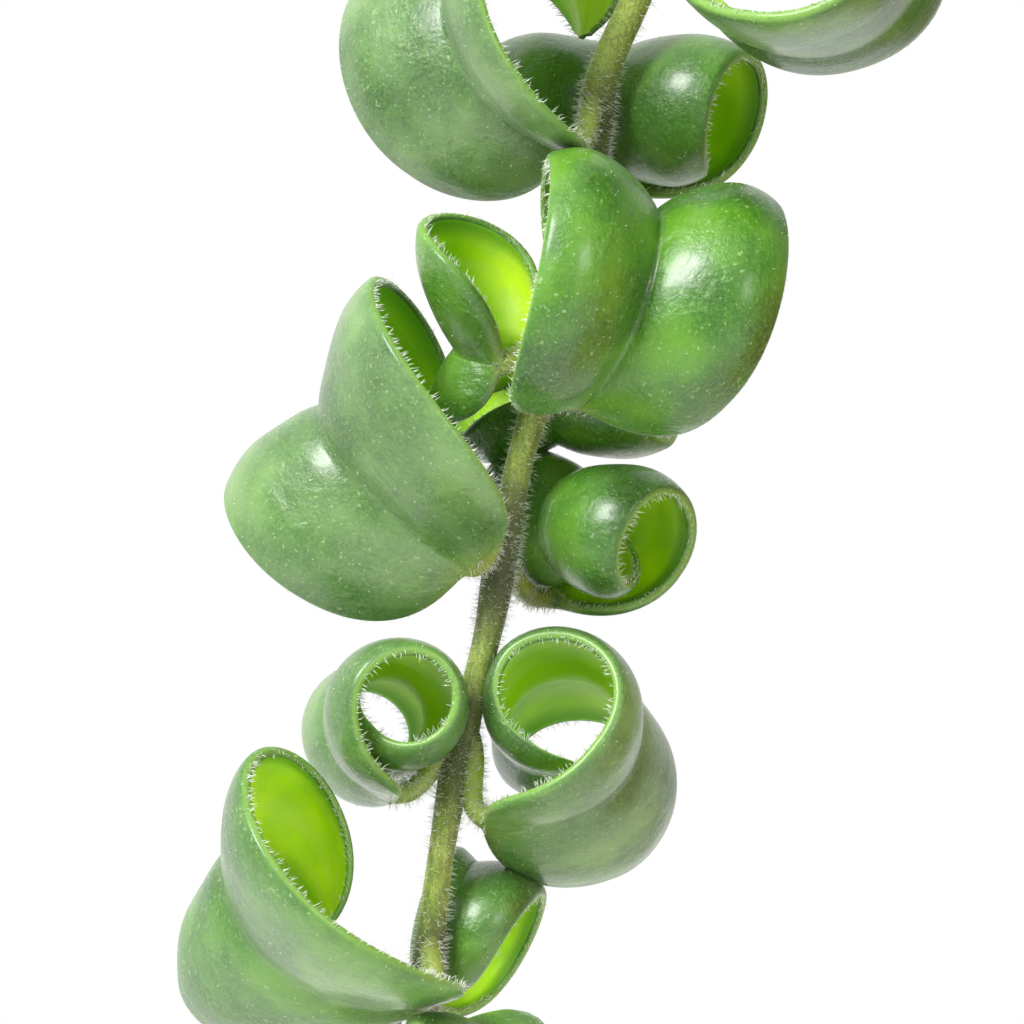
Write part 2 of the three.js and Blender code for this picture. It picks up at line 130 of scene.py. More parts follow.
# Hairs
MARGIN_HAIR_RADIUS = 0.034 * MM
STEM_HAIR_RADIUS = 0.024 * MM
SPECK_HAIR_RADIUS = 0.03 * MM
STEM_HAIR_LENGTH = 0.8 * MM
STALK_HAIR_LENGTH = 0.7 * MM
SPECK_HAIR_LENGTH = 0.22 * MM
HAIR_SINK = 0.1 * MM
MARGIN_HAIR_SINK = 0.12 * MM
HAIR_BENDS = (0.05, 0.3)
HAIR_ELBOW = (0.55, 0.3, 0.75)
HAIR_SIZES = (0.5, 1.1)
MARGIN_HAIR_SIZES = (0.5, 1.15)
STEM_HAIR_SIZES = (0.35, 1.1)
MARGIN_HAIR_SPREAD = (-0.18, 0.3)
MARGIN_HAIR_LEAN = 1.1
MARGIN_HAIR_SLANT = 0.3
SPECK_HAIR_LEAN = 0.35
STEM_HAIR_LEAN = 0.28
STEM_HAIR_WEIGHT = 0.6
NODE_HAIR_WEIGHT = 2.2
HANGING_HAIRS_PER_MM = 48
SIDE_HAIRS_PER_MM = 13

# Picture
CAMERA_AT = (-97 * MM, -480 * MM, 70 * MM)
VIEW_WIDTH = 87 * MM
SENSOR_WIDTH = 36
NEAR_CLIP = 0.01
BRIGHT_SIDE = (-0.68, 0.42, 0.6)
WORLD_TURN = (-0.7, 0.8)
WORLD_STRENGTHS = (0.4, 1.05)
LIGHT_TARGET = (-0.09, 0, 0.07)
LIGHTS = {"key": ((-0.62, -0.6, 0.75), 0.42, 16), "side_fill": ((0.5, -0.7, 0.3), 0.3, 2.2)}
FLOOR_RADIUS = 0.28
FLOOR_FADE = (0.45, 0.97)
FLOOR_CORNERS = 96
FLOOR_DROP = 0.2 * MM

# Where the colours of a leaf and a stem change along them
STALK_FADE = (0.05, -0.06)
ROOT_FADE = (-0.5, -0.95)
STALK_GREEN = (0.28, 0.36, 0.06)
ROOT_OLIVE = (0.12, 0.14, 0.035)
STREAKS_ACROSS = 4
STREAKS_ALONG = 3
YELLOWER_HEIGHTS = (70 * MM, 112 * MM)

UP = np.array([0.0, 0.0, 1.0])
rng = np.random.default_rng(SEED)
scene = bpy.context.scene


# Small vector tools

def mm(*values):
    """Millimetres to a vector in metres."""
    return np.array(values, float) * MM


def unit(v):
    return v / np.maximum(np.linalg.norm(v, axis=-1, keepdims=True), 1e-12)


def across(direction, away):
    """The unit part of one direction that stands square to another."""
    return unit(away - direction * np.sum(direction * away, axis=-1, keepdims=True))


def turned(v, axis, angle):
    """v turned about a unit axis that stands square to it."""
    return v * math.cos(angle) + np.cross(axis, v) * math.sin(angle)


def circle(count):
    return np.linspace(0, 2 * math.pi, count, endpoint=False)


def lerp(a, b, share):
    return a + (b - a) * share


def ramp(x, low, high):
    """0 below low, 1 above high and a smooth step between."""
    share = np.clip((x - low) / (high - low), 0, 1)
    return share * share * (3 - 2 * share)


def distances_along(line):
    steps = np.linalg.norm(np.diff(line, axis=0), axis=1)
    return np.concatenate([[0], np.cumsum(steps)])


def places_at(at, distances, line):
    return np.stack([np.interp(at, distances, axis) for axis in line.T], -1)


def on_grid(grid, row, left, right, down, part):
    """Points between a grid's rows and columns: down from each row and part of the way across."""
    near = grid[row, left] * (1 - part) + grid[row, right] * part
    far = grid[row + 1, left] * (1 - part) + grid[row + 1, right] * part
    return near * (1 - down) + far * down


def make_object(name, points, faces, materials, face_materials=None, smooth=True):
    mesh = bpy.data.meshes.new(name)
    mesh.from_pydata(np.asarray(points).tolist(), [], faces)
    for material in materials:
        mesh.materials.append(material)
    if face_materials is not None:
        mesh.polygons.foreach_set("material_index", np.asarray(face_materials, np.int32))
    mesh.polygons.foreach_set("use_smooth", np.full(len(mesh.polygons), smooth))
    mesh.update()
    thing = bpy.data.objects.new(name, mesh)
    scene.collection.objects.link(thing)
    return thing


def add_attributes(thing, **attributes):
    """Gives each point of a piece the numbers that its materials read."""
    for name, values in attributes.items():
        attribute = thing.data.attributes.new(name, "FLOAT", "POINT")
        attribute.data.foreach_set("value", np.asarray(values, np.float32))


def skin_faces(rings, count):
    """Quads between rings of equal length, and a fan's polygon at each end."""
    quads = []
    for i in range(rings - 1):
        start = i * count
        for k in range(count):
            after = (k + 1) % count
            quads.append((start + k, start + after, start + count + after, start + count + k))
    last = (rings - 1) * count
    caps = [tuple(range(count - 1, -1, -1)), tuple(range(last, last + count))]
    return quads, caps


# Node materials

class Nodes:
    """A node tree, with the few kinds of node that everything here is made of."""

    def __init__(self, tree):
        self.tree = tree

    def feed(self, socket, value):
        """Gives a socket a number, a colour or another node's output."""
        if isinstance(value, bpy.types.NodeSocket):
            self.tree.links.new(value, socket)
        elif socket.type == "RGBA" and len(value) == 3:
            socket.default_value = (*value, 1)
        else:
            socket.default_value = value

    def add(self, kind, inputs=None, **settings):
        node = self.tree.nodes.new(kind)
        for name, value in settings.items():
            setattr(node, name, value)
        for name, value in (inputs or {}).items():
            self.feed(node.inputs[name], value)
        return node

    def steps(self, value, *stops):
        """A colour ramp through (place, colour) stops."""
        node = self.add("ShaderNodeValToRGB", {"Fac": value})
        elements = node.color_ramp.elements
        while len(elements) < len(stops):
            elements.new(0.5)
        for element, (at, colour) in zip(elements, stops):
            element.position = at
            element.color = (*colour, 1)
        return node.outputs["Color"]

    def mix(self, share, first, second):
        node = self.add("ShaderNodeMix", {0: share, 6: first, 7: second}, data_type="RGBA")
        return node.outputs[2]

    def span(self, value, low, high, to_low=0.0, to_high=1.0):
        """The value's place between low and high, moved to between the other two numbers."""
        node = self.add("ShaderNodeMapRange", {
            "Value": value, "From Min": low, "From Max": high, "To Min": to_low, "To Max": to_high})
        return node.outputs["Result"]

    def maths(self, operation, a, b=0.0):
        return self.add("ShaderNodeMath", {0: a, 1: b}, operation=operation).outputs[0]

    def attribute(self, name):
        return self.add("ShaderNodeAttribute", attribute_name=name).outputs["Fac"]


class Look(Nodes):
    """A procedural material, patterned by places on the object itself."""

    def __init__(self, name, **surface):
        self.material = bpy.data.materials.new(name)
        self.material.use_nodes = True
        super().__init__(self.material.node_tree)
        self.shader = self.tree.nodes["Principled BSDF"]
        for socket, value in surface.items():
            socket = socket.replace("_", " ").title().replace("Ior", "IOR")
            self.shader.inputs[socket].default_value = value
        self.place = self.add("ShaderNodeTexCoord").outputs["Object"]
        self.colour = None

    def tint(self, colour, value, low, high, most=1):
        """Lays a colour over what is there: none of it where the value is low, most where high."""
        self.colour = self.mix(self.span(value, low, high, 0, most), self.colour, colour)

    def finished(self):
        self.set("Base Color", self.colour)
        return self.material

    def noise(self, size, detail=3, roughness=0.55, distortion=0, place=None):
        """Noise whose blotches are about size across."""
        node = self.add("ShaderNodeTexNoise", {
            "Vector": self.place if place is None else place, "Scale": 1 / size, "Detail": detail,
            "Roughness": roughness, "Distortion": distortion})
        return node.outputs["Fac"]

    def set(self, name, value):
        self.feed(self.shader.inputs[name], value)

    def bump(self, height, distance, strength):
        node = self.add("ShaderNodeBump", {
            "Height": height, "Distance": distance, "Strength": strength})
        self.set("Normal", node.outputs["Normal"])

    def leaf_streaks(self):
        """Noise drawn out along the leaf, finer across it, from the leaf's own two places."""
        place = self.add("ShaderNodeCombineXYZ", {
            "X": self.maths("MULTIPLY", self.attribute("across"), STREAKS_ACROSS),
            "Y": self.maths("MULTIPLY", self.attribute("along"), STREAKS_ALONG)})
        return self.noise(1, detail=4, roughness=0.6, place=place.outputs["Vector"])

    def off_midrib(self):
        """0 on the midrib and 1 on both margins."""
        return self.maths("ABSOLUTE", self.attribute("across"))

    def tint_stalk(self):
        """Pale on the leaf's stalk and dark where the stalk leaves the stem."""
        self.tint(STALK_GREEN, self.attribute("along"), *STALK_FADE)
        self.tint(ROOT_OLIVE, self.attribute("along"), *ROOT_FADE)


def leaf_outside_material():
    """Waxy deep green, with a pale wax bloom and painted sheen in streaks, fine specks and a light,
    dull margin.
    """
    look = Look(
        "leaf_outside", subsurface_weight=0.3, subsurface_radius=(0.5, 1.0, 0.08),
        subsurface_scale=1.4 * MM, coat_weight=0.5, coat_roughness=0.22, specular_ior_level=0.5,
        sheen_weight=0.05, sheen_roughness=0.3)
    clouds = look.noise(9 * MM)
    dents = look.noise(2.2 * MM, detail=2, distortion=0.6)
    grain = look.noise(0.32 * MM, roughness=0.7)
    specks = look.noise(0.42 * MM, detail=1)
    streaks = look.leaf_streaks()
    look.colour = look.steps(clouds, (0.36, (0.014, 0.085, 0.001)), (0.5, (0.036, 0.155, 0.002)),
                             (0.64, (0.09, 0.26, 0.004)))
    look.tint((0.13, 0.29, 0.03), grain, 0.42, 0.7, 0.55)
    # Pale grey tint in streaks and clouds: partly the leaf's wax bloom, partly a painted sheen
    # standing in for reflected white surroundings, scaled per leaf.
    bloom_and_sheen = look.maths("ADD", look.span(streaks, 0.36, 0.74, 0.1, 0.5),
                       look.span(clouds, 0.36, 0.64, 0, 0.4))
    bloom_and_sheen = look.maths("MULTIPLY", bloom_and_sheen, look.attribute("wax"))
    look.tint((0.32, 0.39, 0.26), bloom_and_sheen, 0, 1)
    look.tint((0.34, 0.46, 0.2), specks, 0.67, 0.74, 0.55)
    look.tint((0.17, 0.34, 0.05), look.off_midrib(), 0.978, 0.998)
    look.tint_stalk()
    dull_margin = look.span(look.off_midrib(), 0.86, 0.96, 0, 0.35)
    look.set("Roughness", look.maths("ADD", look.span(streaks, 0.4, 0.66, 0.26, 0.44), dull_margin))
    relief = look.maths("ADD", look.maths("MULTIPLY", dents, 4.0), look.maths("MULTIPLY", grain, 1.3))
    relief = look.maths("ADD", look.maths("MULTIPLY", streaks, 3.0), relief)
    look.bump(relief, 0.09 * MM, 0.75)
    return look.finished()


def leaf_inside_material():
    """Lime green, partly painted glow of light through the leaf, with painted shade on waxier leaves,
    paler streaks and a green margin.
    """
    look = Look("leaf_inside", subsurface_weight=0.9, subsurface_radius=(0.9, 1.0, 0.06),
                subsurface_scale=2.6 * MM, roughness=0.5, specular_ior_level=0.35)
    grain = look.noise(0.5 * MM)
    # The lime is partly the underside's own paler green and partly painted glow, brightened to stand
    # in for light shining through the leaf.
    look.colour = look.steps(
        look.noise(6 * MM, detail=2), (0.34, (0.30, 0.54, 0.001)), (0.52, (0.42, 0.67, 0.002)),
        (0.68, (0.55, 0.79, 0.005)))
    look.tint((0.30, 0.60, 0.001), grain, 0.4, 0.75, 0.3)
    # Painted shade: leaves with more wax bloom get darker insides.
    look.tint((0.27, 0.47, 0.012), look.attribute("wax"), 0.05, 0.5, 0.7)
    look.tint((0.48, 0.62, 0.16), look.leaf_streaks(), 0.42, 0.7, 0.5)
    look.tint((0.17, 0.38, 0.02), look.off_midrib(), 0.78, 0.93)
    look.tint_stalk()
    look.bump(grain, 0.05 * MM, 0.6)
    return look.finished()


def stem_material():
    """Olive with fine streaks and specks, yellower higher up, with dark brownish painted shade at the
    nodes.
    """
    look = Look("stem_skin", roughness=0.6, subsurface_weight=0.15, subsurface_radius=(0.5, 0.8, 0.15),
                subsurface_scale=0.8 * MM, specular_ior_level=0.4, sheen_weight=0.25,
                sheen_roughness=0.5)
    stretched = look.add("ShaderNodeMapping", {"Vector": look.place, "Scale": (1, 1, 0.22)})
    streaks = look.noise(0.55 * MM, place=stretched.outputs["Vector"])
    look.colour = look.steps(streaks, (0.32, (0.17, 0.24, 0.03)), (0.52, (0.26, 0.34, 0.05)),
                             (0.7, (0.38, 0.46, 0.10)))
    look.tint((0.10, 0.12, 0.035), look.noise(5 * MM), 0.44, 0.62, 0.75)
    height = look.add("ShaderNodeSeparateXYZ", {"Vector": look.place}).outputs["Z"]
    look.tint((0.40, 0.50, 0.09), height, *YELLOWER_HEIGHTS, 0.65)
    look.tint((0.085, 0.105, 0.035), look.noise(0.22 * MM, detail=2), 0.48, 0.6, 0.55)
    # Painted shade at the nodes, where the leaf pairs meet the stem.
    look.tint((0.035, 0.045, 0.012), look.attribute("node_shade"), 0, 1, 0.8)
    look.bump(streaks, 0.09 * MM, 0.6)
    return look.finished()


def hair_material():
    """Short plant hairs, white where they catch the light."""
    look = Look("plant_hair", roughness=0.35, specular_ior_level=0.6, subsurface_weight=0.3,
                subsurface_radius=(1.0, 1.0, 0.8), subsurface_scale=0.3 * MM)
    look.colour = look.steps(look.noise(2 * MM), (0.3, (0.74, 0.8, 0.62)), (0.7, (0.9, 0.92, 0.84)))
    return look.finished()


def pot_material():
    """Matte terracotta colour, moulded, with a fine grain, soft mottling and a little dust."""
    look = Look("terracotta_finish", specular_ior_level=0.3)
    clouds = look.noise(28 * MM, detail=4)
    grain = look.noise(1.1 * MM, detail=4, roughness=0.7)
    look.colour = look.steps(clouds, (0.3, (0.38, 0.115, 0.06)), (0.55, (0.47, 0.15, 0.08)),
                             (0.75, (0.54, 0.20, 0.11)))
    look.tint((0.30, 0.09, 0.045), grain, 0.35, 0.7, 0.3)
    dust = look.noise(14 * MM, detail=6, roughness=0.65, distortion=0.4)
    look.tint((0.66, 0.46, 0.36), dust, 0.56, 0.74, 0.2)
    look.set("Roughness", look.span(clouds, 0.3, 0.7, 0.78, 0.9))
    look.bump(grain, 0.12 * MM, 0.6)
    return look.finished()


def crumb_material(name, dark, light, size):
    look = Look(name, roughness=0.92, specular_ior_level=0.25)
    grain = look.noise(size, detail=5, roughness=0.65)
    look.colour = look.steps(grain, (0.35, dark), (0.68, light))
    look.bump(grain, 0.25 * MM, 0.8)
    return look.finished()


leaf_outside = leaf_outside_material()
leaf_inside = leaf_inside_material()
stem_skin = stem_material()
plant_hair = hair_material()
terracotta_finish = pot_material()
peat = crumb_material("peat", (0.012, 0.007, 0.004), (0.06, 0.036, 0.02), 0.9 * MM)
bark = crumb_material("bark", (0.06, 0.03, 0.014), (0.22, 0.12, 0.06), 0.7 * MM)
perlite = crumb_material("perlite", (0.55, 0.53, 0.48), (0.85, 0.84, 0.8), 0.5 * MM)


# Stems: each is a smooth path through given points, thinner towards its tip

class Stem:
    def __init__(self, name, points, sideways, salt):
        self.name = name
        self.sideways = sideways
        self.salt = salt
        self.nodes = []
        self.places = catmull_rom(points)
        self.distances = distances_along(self.places)
        self.length = self.distances[-1]

    def point(self, distance):
        return places_at(distance, self.distances, self.places)

    def tangent(self, distance):
        return unit(self.point(distance + TANGENT_REACH) - self.point(distance - TANGENT_REACH))

    def radius(self, distance):
        return lerp(STEM_ROOT_RADIUS, STEM_TIP_RADIUS, distance / self.length)

    def swollen(self, distance):
        """1 at a leaf pair, falling to 0 within a few millimetres."""
        shade = np.zeros_like(distance)
        for node in self.nodes:
            shade = np.maximum(shade, np.exp(-((distance - node) / NODE_REACH) ** 2))
        return shade

    def distance_at_height(self, z):
        """Beyond the top of its arch a stem only goes down."""
        beyond = self.distances > self.length * ARCH_TOP_SHARE
        return np.interp(-z, -self.places[beyond, 2], self.distances[beyond])


def catmull_rom(points):
    """A centripetal curve through the points, sampled finely."""
    ends = np.vstack([2 * points[0] - points[1], points, 2 * points[-1] - points[-2]])
    x = np.linspace(0, 1, SAMPLES_PER_SPAN, endpoint=False)[:, None]
    spans = []
    for p0, p1, p2, p3 in zip(ends, ends[1:], ends[2:], ends[3:]):
        d0, d1, d2 = (np.linalg.norm(b - a) ** 0.5 for a, b in ((p0, p1), (p1, p2), (p2, p3)))
        leave = ((p1 - p0) / d0 - (p2 - p0) / (d0 + d1) + (p2 - p1) / d1) * d1
        arrive = ((p2 - p1) / d1 - (p3 - p1) / (d1 + d2) + (p3 - p2) / d2) * d1
        square = 3 * (p2 - p1) - 2 * leave - arrive
        cube = 2 * (p1 - p2) + leave + arrive
        spans.append(p1 + leave * x + square * x ** 2 + cube * x ** 3)
    return np.vstack([*spans, points[-1:]])


def rotated(reach, height, sway, azimuth):
    a = math.radians(azimuth)
    x = reach * math.cos(a) - sway * math.sin(a)
    y = reach * math.sin(a) + sway * math.cos(a)
    return mm(x, y, height)


HANGING_PATH = np.array([
    [-12, 0, 66], [-13, 0, 82], [-17, 0, 100], [-25, 0, 122], [-37, 0, 138], [-52, 0, 145],
    [-67, 0, 141.5], [-77, 0, 132.5], [-83.5, 0, 121], [-86.5, 0, 113.5], [-89.3, 0, 107],
    [-90.3, 0, 101], [-92.8, 0, 88], [-95, 0, 79], [-96.4, 0, 74], [-97.8, 0, 67],
    [-99, 0, 60], [-100.9, 0, 52.3], [-102.1, 0, 46.4], [-103.1, 0, 40.4], [-104, 0, 33.6],
    [-104.5, 0, 28.5], [-105, 0, 22], [-105, 0, 16], [-104.5, 0, 11],
]) * MM

# The shorter stems: compass direction from the pot's centre, and points (distance from
# the centre, height, sideways sway in millimetres), then the turn of their leaf pairs
SIDE_STEMS = {
    "front": (-98, 1, -20, [
        (7, 66, 0), (9, 84, 0), (14, 103, 1), (25, 121, 3), (40, 131, 3), (54, 127, 1),
        (63, 114, -1), (67, 98, -1), (69, 82, 1), (69, 70, 2)]),
    "front_right": (-38, 2, -70, [
        (7, 66, 0), (9, 84, 0), (16, 108, -1), (28, 130, -3), (42, 143, -3), (56, 142, -1),
        (66, 132, 1), (72, 117, 2), (75, 101, 1), (76, 90, 0)]),
    "back_right": (28, 3, -20, [
        (7, 66, 0), (9, 84, 0), (13, 103, 1), (23, 120, 3), (37, 128, 2), (51, 124, 0),
        (61, 111, -2), (66, 95, -2), (69, 79, -1), (70, 66, 0)]),
    "back": (88, 4, -70, [
        (7, 66, 0), (9, 86, 0), (15, 110, -1), (26, 133, -2), (40, 147, -1), (54, 148, 1),
        (65, 139, 2), (71, 124, 2), (74, 108, 1), (75, 96, 0)]),
}


def stem_rings(stem):
    """Rings of points along a stem, with its swellings and small bumps."""
    count = math.ceil(stem.length / STEM_STEP)
    distance = np.linspace(0, stem.length, count + 1)
    centre, tangent = stem.point(distance), stem.tangent(distance)
    sides = np.zeros_like(centre)
    side = np.array([1.0, 0.0, 0.0])
    for i, direction in enumerate(tangent):
        side = across(direction, side)
        sides[i] = side
    swelling = 1 + NODE_SWELLING * stem.swollen(distance)
    angle = circle(STEM_RING_POINTS)
    wave = STEM_OVAL[0] * np.sin(2 * angle + distance[:, None] / STEM_OVAL[1] + stem.salt)
    wave += STEM_LOBES[0] * np.sin(3 * angle - distance[:, None] / STEM_LOBES[1])
    radius = (stem.radius(distance) * swelling)[:, None] * (1 + wave)
    other = np.cross(tangent, sides)
    outward = sides[:, None] * np.cos(angle)[:, None] + other[:, None] * np.sin(angle)[:, None]
    return centre[:, None] + outward * radius[..., None], distance


# Leaves. A leaf lies flat in (u, v): u along the midrib and v across it. The flat sheet
# is rolled round an axis, tighter towards the tip, and folded a little along the midrib.
# Its frame has the roll's axis, the way it sets off and the side that faces out.

def frame_from_angles(azimuth, elevation, start):
    a, e, s = (math.radians(x) for x in (azimuth, elevation, start))
    axis = np.array([math.cos(e) * math.cos(a), -math.cos(e) * math.sin(a), math.sin(e)])
    level = -unit(np.cross(UP, axis))
    rising = np.cross(level, axis)
    along = level * math.cos(s) + rising * math.sin(s)
    return axis, along, np.cross(axis, along)


def root_on_stem(stem, distance, towards):
    """Where a petiole starts inside its stem, a little before its node, and its slanting way out."""
    middle, tangent = stem.point(distance), stem.tangent(distance)
    leave = across(tangent, towards - middle)
    root = stem.point(distance - PETIOLE_LEAD) + leave * stem.radius(distance) * PETIOLE_DEPTH
    return root, unit(leave + tangent)


def outline_width(leaf, t):
    peak = OUTLINE_BASE_POWER / (OUTLINE_BASE_POWER + OUTLINE_TIP_POWER)
    base = (t / peak) ** OUTLINE_BASE_POWER
    tip = ((1 - t) / (1 - peak)) ** OUTLINE_TIP_POWER
    return leaf["width"] / 2 * base * tip


def roll_to(leaf, c, a):
    """Follows the roll for a distance c at a place a along its axis."""
    spread = 1 + leaf["cone"] * a / (10 * MM)
    step = c / ROLL_STEPS
    x, y, angle = np.zeros_like(c), np.zeros_like(c), np.zeros_like(c)
    for i in range(ROLL_STEPS):
        t = np.clip((i + 0.5) * step / leaf["length"], 0, 1) ** leaf["tighten"]
        turn = lerp(1 / leaf["roll_start"], 1 / leaf["roll_end"], t) * spread * step
        x += np.cos(angle + turn / 2) * step
        y += np.sin(angle + turn / 2) * step
        angle += turn
    return x, y, angle


def ends_fade(t, rise, fall):
    """1 along a leaf, falling to 0 at its base and tip, the steeper the higher the number."""
    return np.minimum(1, np.minimum(t * rise, (1 - t) * fall))


def blade(leaf, t, s):
    """The blade's middle surface and its rolled normal, for t along and s across."""
    axis, along, out = leaf["frame"]
    width = outline_width(leaf, t) * np.where(s > 0, leaf["up_share"], leaf["down_share"])
    half = np.maximum(width, PETIOLE_RADIUS * leaf["petiole_size"])
    flat_v = s * half
    fold = np.radians(np.where(s < 0, leaf.get("down_fold", leaf["fold"]), leaf["fold"]))
    pillow = leaf["pillow"] * 4 * np.abs(s) * (1 - np.abs(s)) * half / (leaf["width"] / 2)
    rise = pillow + np.sin(fold) * (np.hypot(flat_v, MIDRIB_ROUNDING) - MIDRIB_ROUNDING)
    lobe = leaf["lobe"] * np.abs(flat_v / (leaf["width"] / 2)) ** LOBE_POWER * (1 - t) ** 2
    u = t * leaf["length"] - lobe
    v = flat_v * np.cos(fold)
    helix = math.radians(leaf["helix"])
    c = u * math.cos(helix) - v * math.sin(helix)
    a = u * math.sin(helix) + v * math.cos(helix)
    x, y, angle = roll_to(leaf, c, a)
    normal = along * np.sin(angle)[..., None] + out * np.cos(angle)[..., None]
    size = min(1, leaf["length"] / FULL_LEAF_LENGTH)
    edge = np.clip((np.abs(s) - MARGIN_STARTS_AT) / (1 - MARGIN_STARTS_AT), 0, 1) ** 2
    recurve = MARGIN_RECURVE * size * edge * ends_fade(t, 4, 8)
    fade = ends_fade(t, 6, 4)
    crease = MIDRIB_CREASE * size * np.exp(-(flat_v / MIDRIB_WIDTH) ** 2) * fade
    salt = leaf["salt"]
    waves = np.sin(u / WAVES_ALONG[0] + salt) * np.sin(flat_v / WAVES_ACROSS[0] + 2 * salt)
    waves += SMALL_WAVES * np.sin(u / WAVES_ALONG[1] + flat_v / WAVES_ACROSS[1] + 3 * salt)
    lift = rise - recurve - crease + UNDULATION * waves * fade
    point = leaf["base"] + along * x[..., None] - out * y[..., None] + axis * a[..., None]
    return point + normal * lift[..., None], normal, half


def petiole_path(leaf, shares):
    """Points and tangents along the petiole, from inside the stem to the blade's base."""
    axis, along, _ = leaf["frame"]
    helix = math.radians(leaf["helix"])
    ahead = along * math.cos(helix) + axis * math.sin(helix)
    side = axis * math.cos(helix) - along * math.sin(helix)
    p0, p3 = leaf["root"], leaf["base"]
    reach = np.linalg.norm(p3 - p0)
    p1, p2 = p0 + leaf["leave"] * reach * PETIOLE_ROOT_BEND, p3 - ahead * reach * PETIOLE_BEND
    x = shares[:, None]
    point = p0 * (1 - x) ** 3 + 3 * p1 * x * (1 - x) ** 2 + 3 * p2 * x ** 2 * (1 - x) + p3 * x ** 3
    tangent = unit((p1 - p0) * (1 - x) ** 2 + 2 * (p2 - p1) * x * (1 - x) + (p3 - p2) * x ** 2)
    sides = across(tangent, np.broadcast_to(side, tangent.shape))
    return point, sides, -np.cross(tangent, sides)


def section_heights(s, half, thick):
    """Half the thickness across a section with round margins, for s from -1 to 1."""
    inside = np.clip((np.abs(s) * half - (half - thick)) / thick, 0, 1)
    return thick * np.sqrt(1 - inside ** 2)


def leaf_surface(leaf, half_points, blade_rings):
    """Top and bottom points of a leaf and its petiole, as two grids, and each ring's place t."""
    x = np.linspace(-1, 1, 2 * half_points + 1)
    s = np.sin(x * math.pi / 2)
    shares = np.linspace(0, 1, PETIOLE_RINGS, endpoint=False)
    centre, sides, ups = petiole_path(leaf, shares)
    size = leaf["petiole_size"]
    radius = PETIOLE_RADIUS * size * lerp(PETIOLE_ROOT_SIZE, 1, ramp(shares, 0, PETIOLE_FULL_AT))
    rise = section_heights(s, radius[:, None], radius[:, None] * PETIOLE_FLATNESS)
    flat = centre[:, None] + sides[:, None] * (s * radius[:, None])[..., None]
    petiole_top = flat + ups[:, None] * rise[..., None]
    petiole_bottom = flat - ups[:, None] * rise[..., None]
    even = np.linspace(0, 1, blade_rings + 1)
    eased = (1 - np.cos(math.pi * even)) / 2
    t = OUTLINE_END * lerp(even, eased, RING_EASING)
    tt, ss = np.meshgrid(t, s, indexing="ij")
    middle, normal, half = blade(leaf, tt, ss)
    normal = true_normals(middle, normal)
    thin = LEAF_THICKNESS / 2 * np.minimum(1, TIP_THINNESS + (1 - tt) * THINNING)
    thick = section_heights(ss, half, np.minimum(thin, half))
    rib = np.exp(-(ss * half / MIDRIB_WIDTH) ** 2) * thick / thin
    base_height = PETIOLE_RADIUS * PETIOLE_FLATNESS * size - LEAF_THICKNESS / 2
    rising = ramp(tt, 0, RIB_START)
    under = rib * (base_height * (1 - ramp(tt, 0, BASE_BLEND)) + MIDRIB_RIB * rising * (1 - tt))
    over = rib * base_height * (1 - rising)
    top = np.vstack([petiole_top, middle + normal * (thick + over)[..., None]])
    bottom = np.vstack([petiole_bottom, middle - normal * (thick + under)[..., None]])
    return top, bottom, np.concatenate([shares - 1, t]), s


def true_normals(middle, rolled):
    """The middle surface's own normals, on the side that the rolled ones face."""
    down = np.gradient(middle, axis=0)
    over = np.gradient(middle, axis=1)
    normal = np.cross(down, over)
    size = np.linalg.norm(normal, axis=-1, keepdims=True)
    normal = np.where(size > 1e-12, normal / np.maximum(size, 1e-12), rolled)
    flip = np.sign(np.sum(normal * rolled, axis=-1, keepdims=True))
    normal = normal * np.where(flip == 0, 1, flip)
    return unit(lerp(rolled, normal, TRUE_NORMAL_SHARE))


def leaf_mesh(top, bottom, t, s):
    """Points, faces, the faces' materials and each point's places along and across the leaf."""
    rings, count = top.shape[:2]
    loop = np.concatenate([top, bottom[:, -2:0:-1]], axis=1)
    around = loop.shape[1]
    quads, caps = skin_faces(rings, around)
    margin = max(2, count // 12)
    ring_material = np.zeros(around, int)
    ring_material[count - 1 + margin:around - margin] = 1
    materials = np.concatenate([np.tile(ring_material, rings - 1), [0, 0]])
    along = np.repeat(t, around)
    share = np.concatenate([s, s[-2:0:-1]])
    points = loop.reshape(-1, 3)
    return points, facing_out(points, quads + caps), materials, along, np.tile(share, rings)


def facing_out(points, faces):
    """The faces, turned over if the closed skin's volume would be negative."""
    volume = 0.0
    for face in faces:
        a = points[face[0]]
        for k in range(1, len(face) - 1):
            volume += np.dot(a, np.cross(points[face[k]], points[face[k + 1]]))
    return faces if volume > 0 else [tuple(reversed(face)) for face in faces]


# Hairs: short curved spikes, each a closed mesh of its own

class Hairs:
    def __init__(self, name, slot):
        self.name = name
        self.slot = slot
        self.batches = []

    def grow(self, roots, ways, sizes, width):
        self.batches.append((roots, unit(ways), sizes[:, None], np.full((len(roots), 1), width)))

    def build(self):
        root, way, size, width = (np.concatenate(parts) for parts in zip(*self.batches))
        count = len(root)
        side = across(way, rng.normal(size=(count, 3)))
        other = np.cross(way, side)
        bend = side * size * rng.uniform(*HAIR_BENDS, (count, 1))
        elbow, lean, slimmer = HAIR_ELBOW
        points = []
        middle = root + way * (size * elbow) + bend * lean
        for centre, girth in ((root - way * HAIR_SINK, 1), (middle, slimmer)):
            for angle in circle(3):
                spoke = side * math.cos(angle) + other * math.sin(angle)
                points.append(centre + spoke * width * girth)
        points.append(root + way * size + bend)
        points = np.stack(points, axis=1).reshape(-1, 3)
        first = np.arange(count)[:, None] * 7
        pattern = [(2, 1, 0)]
        for k in range(3):
            after = (k + 1) % 3
            pattern += [(k, after, 3 + after), (k, 3 + after, 3 + k), (3 + k, 3 + after, 6)]
        faces = np.concatenate([first + np.array(face) for face in pattern])
        thing = make_object(self.name, points, faces.tolist(), [plant_hair])
        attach(thing, "root")


